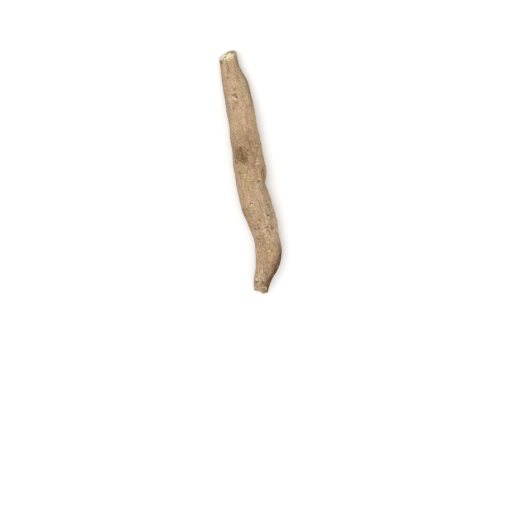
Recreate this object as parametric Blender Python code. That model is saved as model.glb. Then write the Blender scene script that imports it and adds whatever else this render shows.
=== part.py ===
"""One piece of dried ashwagandha root, 84 mm long, lying on its side on a table.

The frame is in metres with +Z up. X runs along the root from its knife-cut end to its snapped
end, Y is across it, and the underside rests on Z = 0 under the middle of the root.

The root starts as a straight peg of unit radius, divided into rings. Every point of the peg is
then carried to its place on the grown root: the middle line sways and rises, the width and the
height swell and taper, and the skin takes its wrinkles, rootlet scars and dents.
"""

import math

import bmesh
import bpy
import numpy as np
from mathutils import Vector, noise

MM = 0.001

# The peg has a ring about every millimetre, and rings at shares of the radius in each end face.
LENGTH = 83.0 * MM
SIDES = 44
RINGS = 80
CUT_FACE_RINGS = (0.94, 0.78, 0.56, 0.34, 0.16)
SNAPPED_FACE_RINGS = (0.82, 0.55, 0.28)

# The root at chosen distances from its cut end, in millimetres: distance, place of the middle
# across the root, width, height, and how far the underside clears the table. Below zero, the
# skin is pressed flat where the root rests.
STATIONS = (
    (0.0, 0.2, 5.4, 5.5, 1.00),
    (3.5, 0.2, 5.6, 5.8, 0.70),
    (7.0, 0.7, 6.7, 6.8, 0.20),
    (11.0, 1.4, 8.2, 7.8, -0.30),
    (15.5, 1.7, 8.5, 8.2, -0.10),
    (23.5, 1.8, 8.9, 8.6, 0.25),
    (30.0, 2.0, 9.4, 9.0, 0.05),
    (38.0, 2.0, 9.9, 9.4, -0.30),
    (44.0, 1.8, 9.4, 9.2, -0.15),
    (50.5, 2.6, 9.7, 9.1, 0.10),
    (55.5, 3.4, 9.3, 8.6, 0.10),
    (60.5, 4.0, 8.4, 8.1, -0.15),
    (65.5, 4.4, 8.2, 7.7, -0.30),
    (70.0, 4.2, 8.3, 7.3, -0.05),
    (74.0, 3.3, 7.8, 6.6, 0.35),
    (78.5, 1.2, 5.6, 5.4, 0.75),
    (83.0, 0.1, 4.3, 4.6, 1.15),
)

# The knife cut leans towards +Y, and its slant fades out along the skin. The dried cut face is
# a shallow dish, with the pith sunk in its middle.
CUT_SLANT = math.radians(17.0)
SLANT_REACH = 7.0 * MM
DISH_DEPTH = 0.22 * MM
PITH_DEPTH = 0.25 * MM
PITH_SHARE = 0.16

# The snapped end is torn wood that stands proud in its middle, and the break took a chip off
# its upper edge.
SNAP_REACH = 2.0 * MM
SNAP_RELIEF = 0.55 * MM
SNAP_CROWN = 0.22 * MM
SNAP_FOLDS = 1.9
CHIP_POINT = Vector((80.8 * MM, 0.5 * MM, 5.4 * MM))
CHIP_NORMAL = Vector((0.50, 0.12, 0.86)).normalized()

# Rootlet scars, and the swellings and dents of the skin. Each has its distance from the cut end
# in millimetres, its turn round the root in degrees from the top towards +Y, its radius and its
# height in millimetres. A dent's height is below zero, and a scar has a pit in its middle.
SCARS = (
    (12.8, -10.0, 1.5, 0.30),
    (41.4, 37.0, 1.0, 0.30),
    (66.9, 12.0, 1.3, 0.22),
    (77.6, -50.0, 1.2, 0.30),
    (28.0, 118.0, 1.5, 0.38),
    (18.5, -102.0, 1.4, 0.34),
    (52.0, -88.0, 1.6, 0.38),
    (71.0, 132.0, 1.2, 0.30),
    (34.0, 196.0, 1.4, 0.30),
)
SWELLINGS = (
    (13.0, 70.0, 3.0, -0.22),
    (22.0, 160.0, 3.4, 0.35),
    (23.5, -85.0, 3.2, -0.25),
    (32.8, -22.0, 2.8, -0.24),
    (41.0, 84.0, 3.4, 0.40),
    (44.8, 82.0, 2.1, -0.55),
    (49.2, -18.0, 1.8, 0.20),
    (54.1, 32.0, 2.0, 0.22),
    (55.5, 205.0, 3.2, 0.32),
    (58.8, 5.0, 3.6, -0.18),
    (59.0, 78.0, 2.6, 0.30),
    (67.0, 92.0, 2.4, 0.12),
    (75.5, 62.0, 3.6, -0.42),
    (79.0, 95.0, 1.8, 0.22),
)
FEATURE_FALLOFF = 1.4
PIT_FALLOFF = 9.0
PIT_SHARE = 0.7

# Wrinkles are creases that run along the root, and lumps are as long as they are wide. Each has
# its height, its number of folds per radian round the root, and its length along the root.
WRINKLE_HEIGHT = 0.17 * MM
WRINKLE_FOLDS = 2.6
WRINKLE_LENGTH = 13.0 * MM
CREASE_DEPTH = 2.6
LUMP_HEIGHT = 0.20 * MM
LUMP_FOLDS = 1.1
LUMP_LENGTH = 6.0 * MM

BARK_COLOUR = (0.50, 0.36, 0.235, 1.0)
BARK_ROUGHNESS = 0.88


def clear_scene():
    """Remove whatever the file holds, so that only the root is left."""
    for thing in list(bpy.data.objects):
        bpy.data.objects.remove(thing, do_unlink=True)


def station_curve(column):
    """A smooth function of distance through one column of the stations, in metres."""
    distances = np.array([station[0] for station in STATIONS]) * MM
    values = np.array([station[column] for station in STATIONS]) * MM
    slopes = np.gradient(values, distances)

    def value_at(distance):
        last = len(distances) - 2
        k = int(np.clip(np.searchsorted(distances, distance) - 1, 0, last))
        span = distances[k + 1] - distances[k]
        t = (distance - distances[k]) / span
        rise = values[k + 1] - values[k]
        bend = 3.0 * rise - span * (2.0 * slopes[k] + slopes[k + 1])
        curl = span * (slopes[k] + slopes[k + 1]) - 2.0 * rise
        return float(values[k] + t * (span * slopes[k] + t * (bend + t * curl)))

    return value_at


SIDEWAYS, WIDTH, HEIGHT, CLEARANCE = (station_curve(column) for column in range(1, 5))


def middle(distance):
    """The middle of the root at a distance from its cut end."""
    lift = CLEARANCE(distance) + HEIGHT(distance) / 2
    return Vector((distance, SIDEWAYS(distance), lift))


def directions(distance):
    """The directions along the root, across it and upwards, at a distance from its cut end."""
    step = 0.5 * MM
    before = middle(max(distance - step, 0.0))
    after = middle(min(distance + step, LENGTH))
    along = (after - before).normalized()
    across = Vector((0.0, 0.0, 1.0)).cross(along).normalized()
    return along, across, along.cross(across)


def spread_from(place, distance, angle):
    """The squared distance of a point of the skin from a feature, in radii of the feature."""
    radius = place[2] * MM
    away_along = (distance - place[0] * MM) / radius
    turn = math.remainder(angle - math.radians(place[1]), 2.0 * math.pi)
    away_round = turn * WIDTH(distance) / 2 / radius
    return away_along**2 + away_round**2


def skin_relief(distance, angle):
    """How far the skin stands above the plain oval section, in metres."""
    east, north = math.sin(angle), math.cos(angle)
    wrinkle = noise.noise(
        Vector((east * WRINKLE_FOLDS, north * WRINKLE_FOLDS, distance / WRINKLE_LENGTH))
    )
    lump = noise.noise(
        Vector((east * LUMP_FOLDS, north * LUMP_FOLDS, LUMP_FOLDS + distance / LUMP_LENGTH))
    )
    relief = WRINKLE_HEIGHT * (1.0 - CREASE_DEPTH * abs(wrinkle)) + LUMP_HEIGHT * lump
    for place in SWELLINGS:
        spread = spread_from(place, distance, angle)
        relief += place[3] * MM * math.exp(-FEATURE_FALLOFF * spread)
    for place in SCARS:
        spread = spread_from(place, distance, angle)
        rim = math.exp(-FEATURE_FALLOFF * spread)
        pit = PIT_SHARE * math.exp(-PIT_FALLOFF * spread)
        relief += place[3] * MM * (rim - pit)
    return relief


def cut_shift(distance, share, offset_across):
    """How far the knife cut moves a point along the root: its slant, its dish and its pith."""
    fade = max(0.0, 1.0 - distance / SLANT_REACH)
    shift = -math.tan(CUT_SLANT) * offset_across * fade * fade
    if distance == 0.0:
        shift += DISH_DEPTH * (1.0 - share * share)
        shift += PITH_DEPTH * math.exp(-((share / PITH_SHARE) ** 2))
    return shift


def snap_shift(distance, share, angle):
    """How far the torn wood moves a point of the snapped end along the root."""
    fade = max(0.0, 1.0 - (LENGTH - distance) / SNAP_REACH)
    spot = Vector((math.sin(angle), math.cos(angle), 0.0)) * share * SNAP_FOLDS
    torn = noise.turbulence(spot, 2, False)
    return fade * (SNAP_RELIEF * torn + SNAP_CROWN * (1.0 - share))


def carried(peg_point):
    """Where a point of the straight peg lies on the grown root."""
    distance = min(max(peg_point.z, 0.0), LENGTH)
    share = min(1.0, math.hypot(peg_point.x, peg_point.y))
    angle = math.atan2(peg_point.x, peg_point.y)
    along, across, upward = directions(distance)
    relief = skin_relief(distance, angle)
    out_across = (WIDTH(distance) / 2 + relief) * math.sin(angle) * share
    out_upward = (HEIGHT(distance) / 2 + relief) * math.cos(angle) * share
    shift = cut_shift(distance, share, out_across) + snap_shift(distance, share, angle)
    point = middle(distance) + along * shift + across * out_across + upward * out_upward
    past_chip = (point - CHIP_POINT).dot(CHIP_NORMAL)
    if past_chip > 0.0:
        point -= CHIP_NORMAL * past_chip
    point.z = max(point.z, 0.0)
    return point


def inset_cap(mesh, face, shares):
    """Divide an end face of the peg into rings at shares of its radius, and close its middle."""
    reach = 1.0
    for share in shares:
        bmesh.ops.inset_region(mesh, faces=[face], thickness=reach - share)
        reach = share
        for vert in face.verts:
            vert.co.xy = vert.co.xy.normalized() * share
    bmesh.ops.poke(mesh, faces=[face])


def straight_peg():
    """The straight peg of unit radius, with its rings, standing on the XY plane."""
    mesh = bmesh.new()
    bmesh.ops.create_cone(
        mesh, cap_ends=True, segments=SIDES, radius1=1.0, radius2=1.0, depth=LENGTH
    )
    bmesh.ops.translate(mesh, verts=mesh.verts, vec=(0.0, 0.0, LENGTH / 2))
    lengthwise = [
        edge for edge in mesh.edges if abs(edge.verts[0].co.z - edge.verts[1].co.z) > LENGTH / 2
    ]
    bmesh.ops.subdivide_edges(mesh, edges=lengthwise, cuts=RINGS - 1, use_grid_fill=False)
    caps = sorted(
        (face for face in mesh.faces if len(face.verts) == SIDES),
        key=lambda face: face.calc_center_median().z,
    )
    inset_cap(mesh, caps[0], CUT_FACE_RINGS)
    inset_cap(mesh, caps[1], SNAPPED_FACE_RINGS)
    return mesh


def bark_material():
    """Dry, matt, greyish tan bark."""
    material = bpy.data.materials.new("root_bark")
    material.use_nodes = True
    shader = material.node_tree.nodes["Principled BSDF"]
    shader.inputs["Base Color"].default_value = BARK_COLOUR
    shader.inputs["Roughness"].default_value = BARK_ROUGHNESS
    shader.inputs["Metallic"].default_value = 0.0
    return material


def build_root():
    """The whole root as one closed solid, over the origin and resting on Z = 0."""
    mesh = straight_peg()
    for vert in mesh.verts:
        vert.co = carried(vert.co)
    bmesh.ops.triangulate(mesh, faces=[face for face in mesh.faces if len(face.verts) > 3])
    bmesh.ops.recalc_face_normals(mesh, faces=mesh.faces)
    lowest = np.min([vert.co for vert in mesh.verts], axis=0)
    highest = np.max([vert.co for vert in mesh.verts], axis=0)
    to_origin = Vector((-(lowest[0] + highest[0]) / 2, -(lowest[1] + highest[1]) / 2, -lowest[2]))
    bmesh.ops.translate(mesh, verts=mesh.verts, vec=to_origin)
    data = bpy.data.meshes.new("ashwagandha_root")
    mesh.to_mesh(data)
    mesh.free()
    data.materials.append(bark_material())
    data.shade_smooth()
    root = bpy.data.objects.new("ashwagandha_root", data)
    bpy.context.scene.collection.objects.link(root)
    return root


clear_scene()
build_root()
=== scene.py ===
import math
import random

import bpy
import numpy as np
from mathutils import Matrix, Vector, noise


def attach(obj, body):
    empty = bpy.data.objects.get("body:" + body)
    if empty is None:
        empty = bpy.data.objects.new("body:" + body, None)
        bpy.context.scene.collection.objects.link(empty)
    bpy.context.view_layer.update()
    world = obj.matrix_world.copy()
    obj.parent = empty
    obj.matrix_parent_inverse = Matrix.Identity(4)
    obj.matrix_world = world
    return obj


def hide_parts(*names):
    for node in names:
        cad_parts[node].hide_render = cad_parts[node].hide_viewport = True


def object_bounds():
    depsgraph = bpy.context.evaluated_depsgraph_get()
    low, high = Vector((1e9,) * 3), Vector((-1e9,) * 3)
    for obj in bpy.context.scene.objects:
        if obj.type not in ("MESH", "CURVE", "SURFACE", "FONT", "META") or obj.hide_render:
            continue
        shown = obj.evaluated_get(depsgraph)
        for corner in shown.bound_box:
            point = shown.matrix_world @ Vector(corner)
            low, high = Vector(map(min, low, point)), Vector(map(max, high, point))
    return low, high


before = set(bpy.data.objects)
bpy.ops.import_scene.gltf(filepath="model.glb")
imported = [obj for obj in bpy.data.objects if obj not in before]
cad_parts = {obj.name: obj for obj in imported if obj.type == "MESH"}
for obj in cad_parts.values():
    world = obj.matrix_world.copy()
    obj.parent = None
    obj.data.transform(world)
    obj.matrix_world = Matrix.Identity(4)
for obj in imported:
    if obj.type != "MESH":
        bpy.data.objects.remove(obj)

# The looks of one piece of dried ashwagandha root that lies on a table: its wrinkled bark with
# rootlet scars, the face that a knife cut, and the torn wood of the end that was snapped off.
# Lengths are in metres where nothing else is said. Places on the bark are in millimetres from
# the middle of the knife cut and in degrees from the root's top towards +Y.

bl_info = {
    "name": "Dried Ashwagandha Root",
    "version": (1, 0, 0),
    "blender": (4, 5, 0),
    "location": "3D View > Sidebar > Root",
    "description": "Builds a dried ashwagandha root from its solid, with its table and light",
    "category": "Object",
}

MM = 0.001
NODE = "ashwagandha_root"
CAD_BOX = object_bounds()

# Slices that the root's middle and thickness are read from, and the even thickness that the
# patterns of its skin are drawn for, in millimetres. Then which edges of the solid stay sharp,
# and by how much.
SLICE = 1.0
SLICES_SMOOTHED = 7
WHOLE_SLICE_FROM_END = 3.0
EVEN_RADIUS = 4.5
RIM_SHARPNESS = math.radians(50.0)
RIM_CREASE = 0.85

# Knife cut: it leans towards +Y, so its tip stands out past its middle. Its tip, middle, radius
# and reach along the root are in millimetres, and CUT_FACING is the least cosine between its
# own direction and that of its skin.
CUT_SLANT = math.radians(17.0)
CUT_NORMAL = np.array([-math.cos(CUT_SLANT), -math.sin(CUT_SLANT), 0.0])
CUT_SIDE = np.array([-math.sin(CUT_SLANT), math.cos(CUT_SLANT), 0.0])
CUT_TIP = 0.85
CUT_MIDDLE = np.array([CAD_BOX[0].x / MM + 0.95, CAD_BOX[0].y / MM + 3.25, 3.71])
CUT_RADIUS = 2.75
CUT_REACH = 3.4
CUT_FACING = 0.72

# Its relief in millimetres, how many rays it has, and where its ring is, as a share of the
# radius.
RAY_HEIGHT = 0.016
RING_DEPTH = 0.050
PORE_DEPTH = 0.035
KNIFE_MARK_HEIGHT = 0.022
CUT_CRACK_DEPTH = 0.20
CUT_RAYS = 38.0
CUT_RING = 0.82

# Cracks of the cut face: angle from the top towards +Y, from and to as shares of the radius,
# and half width in millimetres.
CUT_CRACKS = (
    (-52.0, 0.35, 0.98, 0.070),
    (-96.0, 0.15, 0.60, 0.050),
    (118.0, 0.30, 0.85, 0.050),
)

# Olive and brown marks of the cut face: towards +Y and up from its middle, half width, half
# height and strength.
CUT_STAINS = (
    (-0.88, 0.35, 0.44, 0.85, 1.00),
    (-0.28, -1.35, 0.46, 0.55, 1.00),
    (-1.62, 1.85, 0.42, 0.60, 1.00),
    (1.35, 0.95, 0.34, 0.34, 0.40),
)

# Rim of the cut: the side where it is stained olive and darkened with painted shade, and the
# sides where it is worn and ragged, from the top towards +Y. Then how far down the bark the wear
# reaches, how deep it is, and how high the ragged lumps are, in millimetres.
FAR_RIM_SIDE = math.radians(120.0)
WORN_SIDE = math.radians(-5.0)
RAGGED_SIDE = math.radians(-58.0)
WORN_RIM = 0.95
RIM_WEAR = 0.12
LUMP_HEIGHT = 0.35

# Snapped end: how far in it reaches, the least cosine between +X and the direction of its skin,
# and the width of its torn bundles. Then the chip broken out of its upper edge, as distance and
# turn, half size, depth and height of its own edge. Lengths are in millimetres.
SNAP_REACH = 3.2
SNAP_FACING = 0.62
TORN_CELL = 0.50
CHIP_PLACE = (82.0, -9.0)
CHIP_HALF_WIDTH = 1.72
CHIP_HALF_LENGTH = 1.85
CHIP_DEPTH = 0.14
CHIP_EDGE_HEIGHT = 0.16

# The corner where the snapped end stands back: its turn and half width as angles, how far it
# stands back in millimetres, and the stretch of the root that is shortened for it.
CORNER_TURN = math.radians(-64.0)
CORNER_HALF_TURN = math.radians(32.0)
CORNER_DEPTH = 1.5
CORNER_STRETCH = (77.5, 84.5)

# Masks of both ends: how often they are smoothed, and from how much on the skin is divided more
# finely and a face gets the end's material. Then the material slots of the skin.
MASK_ROUNDS = 3
MASK_REFINES = 0.05
MASK_COVERS = 0.5
BARK_SLOT, CUT_SLOT, TORN_SLOT = range(3)

# Scars of rootlets, each a pale wart with a crack round one side of it, the crack's dark deepened
# with painted shadow: distance and turn of its middle, half width, half length and height, and the
# side of the crack in degrees from the cut end towards +Y.
ROOTLET_SCARS = (
    (1.3, -36.0, 0.50, 0.45, 0.12, 270.0),
    (40.9, 36.0, 0.54, 0.50, 0.34, 187.0),
    (77.1, -55.0, 0.62, 0.56, 0.42, 190.0),
    (28.0, 118.0, 0.95, 0.55, 0.20, 190.0),
    (18.5, -120.0, 0.90, 0.50, 0.18, 20.0),
    (51.0, -116.0, 1.10, 0.60, 0.22, 160.0),
    (71.0, 132.0, 0.75, 0.45, 0.18, 0.0),
    (34.0, 196.0, 0.90, 0.60, 0.20, 210.0),
    (60.0, 150.0, 0.60, 0.36, 0.14, 30.0),
    (38.5, -118.0, 0.70, 0.36, 0.14, 175.0),
)

# Pits: distance, turn, half width, half length and depth, in millimetres.
PITS = (
    (1.5, -63.0, 0.55, 0.55, 0.26),
    (1.2, -20.5, 0.24, 0.50, 0.24),
    (0.7, -46.9, 0.30, 0.30, 0.22),
    (6.3, -25.7, 0.44, 0.32, 0.20),
    (6.4, 36.0, 0.36, 0.50, 0.06),
    (5.2, 7.0, 0.22, 0.55, 0.06),
    (10.0, -4.5, 0.46, 0.36, 0.13),
    (12.0, -21.5, 0.32, 0.30, 0.22),
    (12.8, -4.4, 0.36, 0.34, 0.24),
    (14.5, -12.3, 0.40, 0.36, 0.22),
    (16.3, -30.0, 0.40, 0.38, 0.14),
    (29.2, -29.5, 0.40, 0.50, 0.20),
    (30.4, -36.0, 0.46, 0.55, 0.26),
    (30.7, -26.6, 0.42, 0.40, 0.24),
    (31.5, -38.4, 0.44, 0.44, 0.20),
    (31.6, -19.0, 0.36, 0.32, 0.24),
    (32.4, -28.6, 0.38, 0.32, 0.26),
    (32.7, -13.8, 0.42, 0.34, 0.26),
    (33.2, -18.7, 0.42, 0.30, 0.26),
    (34.3, -56.0, 0.45, 0.50, 0.14),
    (34.5, 7.0, 0.30, 0.30, 0.08),
    (36.3, 43.7, 0.36, 0.32, 0.22),
    (41.7, 33.0, 0.42, 0.26, 0.22),
    (78.1, -58.0, 0.55, 0.30, 0.24),
    (37.9, -44.7, 0.42, 0.34, 0.12),
    (45.1, 90.0, 0.80, 0.60, 0.20),
    (54.9, -8.0, 0.42, 0.30, 0.10),
    (57.2, 37.4, 0.42, 0.34, 0.14),
    (57.9, 22.0, 0.36, 0.30, 0.16),
    (57.9, -21.0, 0.40, 0.34, 0.18),
    (58.1, -36.0, 0.38, 0.32, 0.14),
    (60.9, 28.0, 0.34, 0.32, 0.12),
    (61.8, -44.0, 0.34, 0.30, 0.12),
    (62.1, -33.6, 0.42, 0.34, 0.16),
    (64.2, 32.0, 0.42, 0.34, 0.24),
    (66.7, 15.8, 0.40, 0.34, 0.24),
    (78.0, 7.6, 0.40, 0.32, 0.24),
)

# Cracks of the bark: half width and depth in millimetres, then places that each runs through,
# as distance and turn.
CRACKS = (
    (0.25, 0.27, ((12.0, -21.0), (11.7, -10.4), (12.1, -5.7), (12.7, -3.7))),
    (0.24, 0.10, ((1.9, -12.4), (4.4, -10.2))),
    (0.17, 0.10, ((48.3, -19.5), (48.4, -11.0))),
    (0.20, 0.24, ((53.5, 31.5), (53.8, 41.5))),
    (0.18, 0.15, ((59.0, 32.0), (58.5, 43.0), (59.4, 55.0))),
    (0.16, 0.16, ((59.3, 11.0), (59.0, 17.0), (59.7, 27.0))),
    (0.16, 0.12, ((78.8, -20.0), (78.5, -9.0))),
    (0.18, 0.14, ((79.3, 8.0), (79.1, 24.0))),
    (0.14, 0.16, ((19.0, 148.0), (22.5, 155.0), (26.0, 150.0))),
    (0.13, 0.14, ((43.0, -120.0), (46.5, -127.0), (50.0, -122.0))),
    (0.14, 0.15, ((6.0, -92.0), (9.0, -97.0), (11.5, -94.0))),
    (0.13, 0.13, ((62.0, 172.0), (65.5, 178.0))),
    (0.13, 0.14, ((33.0, 108.0), (37.5, 101.0))),
    (0.15, 0.15, ((2.0, 128.0), (6.5, 133.0), (9.5, 129.0))),
)

# Pale raised folds of the bark, given as the cracks are, with their height.
FOLDS = (
    (0.22, 0.095, ((52.7, 19.0), (53.6, 28.0), (54.6, 39.0))),
    (0.30, 0.16, ((0.9, -32.0), (1.3, -27.0))),
    (0.30, 0.14, ((0.7, -6.0), (0.8, 3.0))),
    (0.18, 0.05, ((54.9, -11.0), (55.9, -4.0))),
    (0.22, 0.12, ((48.9, -17.0), (48.7, -11.0))),
    (0.22, 0.11, ((49.4, -26.0), (49.1, -20.0))),
    (0.20, 0.09, ((45.9, -22.5), (48.1, -24.0))),
    (0.20, 0.05, ((59.8, 14.0), (59.9, 21.0))),
    (0.22, 0.16, ((66.6, 1.0), (66.6, 9.0))),
    (0.30, 0.17, ((81.0, -84.0), (80.8, -72.0), (81.3, -58.0))),
    (0.32, 0.15, ((12.6, -24.0), (13.1, -16.0), (13.3, -9.0))),
    (0.24, 0.06, ((23.2, 9.0), (23.6, 16.0))),
    (0.28, 0.13, ((35.5, 31.0), (35.5, 36.0))),
    (0.26, 0.20, ((40.7, 35.0), (41.0, 38.0))),
    (0.36, 0.20, ((76.8, -56.0), (77.2, -50.0))),
    (0.34, 0.06, ((30.2, 25.0), (31.2, 32.0))),
    (0.34, 0.07, ((28.1, -15.0), (28.4, -9.0))),
    (0.18, 0.05, ((61.2, -8.0), (62.2, -1.0))),
    (0.20, 0.07, ((73.4, -36.0), (74.8, -28.0))),
    (0.20, 0.07, ((75.5, -46.0), (76.9, -38.0))),
    (0.22, 0.10, ((76.2, -22.0), (77.6, -9.0), (77.8, -2.0))),
    (0.20, 0.08, ((78.6, -48.0), (79.6, -36.0))),
)

# Dark, ochre, grey and light tints of the bark: distance, turn, half width and half length in
# millimetres, and strength. Some of the dark and grey tints are painted shade, as marked.
STAINS_AND_SHADES = (
    # These three are a real dark patch, darkened further with painted shadow.
    (31.6, -29.0, 2.3, 3.0, 1.45),
    (32.3, -19.0, 1.7, 2.4, 1.25),
    (30.2, -10.0, 5.0, 5.2, 0.52),
    (79.4, -8.0, 3.0, 1.6, 0.39),
    (79.6, -52.0, 2.4, 1.8, 0.31),
    (56.0, -58.0, 3.0, 5.0, 0.31),
    # These two are broad painted shade towards the snapped end.
    (52.5, 8.0, 5.5, 3.2, 0.16),
    (74.5, -10.0, 4.5, 5.5, 0.15),
    # Painted shade along the side turned from the light.
    (8.0, 84.0, 1.5, 11.0, 0.66),
    (46.0, 78.0, 2.2, 8.0, 0.22),
    (34.3, -56.0, 0.8, 1.0, 0.47),
    (24.2, 19.0, 1.6, 0.8, 0.31),
    (40.0, 57.0, 0.8, 3.2, 0.62),
    (53.6, 42.0, 1.2, 0.7, 0.39),
    (58.2, 36.0, 2.2, 1.0, 0.31),
    (58.3, -26.0, 1.6, 0.9, 0.23),
    (78.9, -16.0, 1.3, 0.7, 0.35),
    (80.4, -45.0, 1.6, 1.4, 0.39),
    (78.4, -62.0, 0.9, 0.6, 0.62),
    (1.6, -64.0, 0.7, 0.8, 0.78),
    (22.0, 150.0, 3.0, 5.0, 0.43),
    (48.0, -118.0, 2.6, 4.0, 0.47),
    (66.0, 120.0, 2.4, 4.0, 0.43),
    (9.0, -100.0, 2.0, 3.5, 0.39),
    (54.0, 180.0, 3.0, 6.0, 0.39),
)
OCHRES = (
    (41.0, -9.0, 2.6, 3.0, 0.70),
    (66.8, 8.0, 2.0, 1.8, 0.90),
    (71.0, 14.0, 1.2, 3.0, 0.40),
    (2.0, 30.0, 1.6, 1.0, 0.80),
    (6.4, 36.0, 1.0, 1.2, 0.80),
    (31.0, 20.0, 2.0, 3.5, 0.50),
    (36.0, -30.0, 2.2, 2.6, 0.50),
    (25.0, -110.0, 3.0, 5.0, 0.70),
    (58.0, 140.0, 3.0, 5.0, 0.70),
    (70.0, -120.0, 2.6, 4.0, 0.70),
)
GREYS = (
    (15.8, -54.0, 1.4, 1.8, 0.90),
    (10.0, -30.0, 1.5, 2.5, 0.60),
    (53.5, 62.0, 1.3, 3.5, 0.90),
    (44.5, 35.0, 2.0, 2.0, 0.60),
    (75.0, -5.0, 1.8, 2.5, 0.50),
    # These two grey and darken the side turned from the light: painted shade.
    (5.0, 66.0, 1.9, 7.0, 1.00),
    (16.0, 62.0, 1.6, 5.0, 0.60),
    (37.0, 150.0, 3.0, 5.0, 0.80),
    (60.0, -100.0, 2.5, 4.0, 0.80),
    (28.0, -150.0, 3.0, 6.0, 0.70),
)
LIGHTS = (
    (8.0, 5.0, 5.0, 7.0, 0.80),
    (17.0, 20.0, 5.0, 5.0, 0.90),
    (22.0, -40.0, 2.5, 4.0, 0.80),
    (44.5, -5.0, 4.0, 4.0, 0.90),
    (63.0, 35.0, 3.0, 2.5, 0.80),
)

# Rough zones where the bark is netted and pitted, given as the tints are, and how rough it is
# elsewhere. Then the width and slant of the net's cells, and how fast levels change from one
# cell to the next.
ROUGH_ZONES = (
    (58.6, 18.0, 5.0, 4.0, 1.25),
    (58.0, -45.0, 3.0, 4.4, 0.85),
    (31.4, -27.0, 2.6, 3.2, 1.35),
    (77.0, -25.0, 3.8, 5.0, 0.80),
    (79.3, -46.0, 2.0, 2.0, 1.20),
    (49.0, 0.0, 4.5, 4.5, 0.50),
    (67.0, -10.0, 4.5, 5.0, 0.22),
    (60.0, 165.0, 5.0, 5.0, 0.80),
    (20.0, 145.0, 4.0, 5.0, 0.60),
    (48.0, -112.0, 3.0, 4.5, 0.70),
    (10.0, -105.0, 3.0, 4.0, 0.50),
)
ROUGH_EVERYWHERE = 0.13
NET_CELL = 0.88
NET_SLANT = 0.55
CELL_LEVELS = 1.7

# Stretches with short folds round the root: distance, half length and strength. Then how much
# they slant, and how far long creases wander round the root and along it.
WRINKLE_ZONES = ((51.5, 5.0, 0.5), (59.0, 4.5, 0.9), (76.5, 5.0, 0.7))
WRINKLE_SLANT = 0.60
CREASE_WANDER = np.array([0.5, 0.5, 1.5])

# Small marks all over the bark: how many, their seed, half width and half length.
FLECKS = (70, 5, 0.60, 0.20)
PINPRICKS = (90, 9, 0.34, 0.25)

# Relief of the bark in millimetres. Creases are eased where the bark faces up.
CREASE_DEPTH = 0.150
CREASE_EASED = 0.090
FINE_CREASE_DEPTH = 0.040
PEBBLE_HEIGHT = 0.040
GRAIN_HEIGHT = 0.036
WRINKLE_HEIGHT = 0.060
THREAD_HEIGHT = 0.085
HOLLOW_DEPTH = 0.140
FLECK_HEIGHT = 0.085
PINPRICK_DEPTH = 0.120

# Stretches over which fine creases ease off, and small relief grows livelier and calmer again.
FINE_CREASES_EASE = (4.0, 16.0)
LIVELIER_FROM = (46.0, 58.0)
CALMER_FROM = (62.0, 68.0)

# The flank beside the snapped end is mostly painted shade of the side turned from the light, over
# a real brown stain: it darkens in steps between these turns by these shares and fades again
# underneath. Then the stretch where it begins, how far its edge slants there, and where it
# widens again.
FLANK_STEPS = (
    (-22.0, 0.0, 0.34),
    (12.0, 34.0, 0.42),
    (36.0, 60.0, 0.34),
)
FLANK_FADES = (95.0, 160.0)
FLANK_START = (62.5, 68.5)
FLANK_SLANT = (66.5, 74.5, 50.0)
FLANK_WIDENS = (73.0, 1.8)

# A splinter of torn wood in steps along it: how much it narrows, and its rise and drift to
# one side in shares of its thickness.
SPLINTER_STEPS = (
    (0.92, 0.3, 0.2),
    (0.85, 0.7, -0.4),
    (0.75, 0.2, -0.6),
    (0.40, -0.3, 0.5),
)

# All splinters: seed, the share of one that is its straight root, its thickness and length, how
# deep it is sunk and how much it leans outwards. Then the range of its tilt and the most of its
# spin, in radians, and its ranges of scale along X, Y and Z.
SPLINTER_SEED = 17
SPLINTER_ROOT = 0.3
SPLINTER_THICKNESS = 0.075 * MM
SPLINTER_LENGTH = 1.0 * MM
SPLINTER_SINK = 0.35 * MM
SPLINTER_LEAN = 0.105
SPLINTER_TILT = (-0.2, 0.2)
SPLINTER_SPIN = 6.28
SPLINTER_SCALES = ((0.45, 1.1), (0.7, 1.6), (0.6, 1.2))

# Groups of splinters: how many thirds of them, seed, and how far out they stand, in shares.
SPLINTER_GROUPS = ((1, 21, 0.0, 0.6), (2, 22, 0.6, 0.9))

# Gloss of dry bark and wood, the side of the table, the lamp's place and size, and the sky.
DRY_SPECULAR = 0.12
TABLE_SIDE = 20.0
LIGHT_PLACE = (-0.42, -0.14, 0.82)
LIGHT_SIZE = 0.8
SKY_STRENGTH = 0.84

# Camera: it looks down on the root from its knife cut, turned so that the root leans as it
# does in the picture, which is 512 pixels on a side.
PICTURE_SIZE = 512
CAMERA_ELEVATION = math.radians(65.0)
PICTURE_LEAN = math.radians(8.16)
PIXEL = 0.32 * MM
LENS = 120.0
SENSOR = 36.0
NEAREST_SEEN = 0.01
AIM_PIXEL = (253.35, 177.0)
AIM_HEIGHT = 4.5 * MM


def smooth_step(values, low, high):
    """0 below low, 1 above high, and a smooth rise between them."""
    t = limited((values - low) / (high - low))
    return t * t * (3.0 - 2.0 * t)


def bell(offset, width):
    """1 at no offset, falling smoothly to almost nothing at twice the width."""
    return np.exp(-(offset / width) ** 2)


def limited(values):
    """Values kept between 0 and 1."""
    return np.clip(values, 0.0, 1.0)


def half_turned(angle):
    """An angle in radians, brought to within half a turn of zero."""
    return (angle + math.pi) % (2 * math.pi) - math.pi


def facing(angle, side, low, high):
    """1 on one side and 0 round from it, with a smooth rise between two cosines."""
    return smooth_step(np.cos(angle - side), low, high)


def ripple(points, size, seed, along=None, bend=0.0):
    """Smooth noise from about -1 to 1, with folds of this size, or of another along Z."""
    scale = np.array([size, size, along or size])
    return np.array([noise.noise(point) for point in (points / scale + bend + seed).tolist()])


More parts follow.
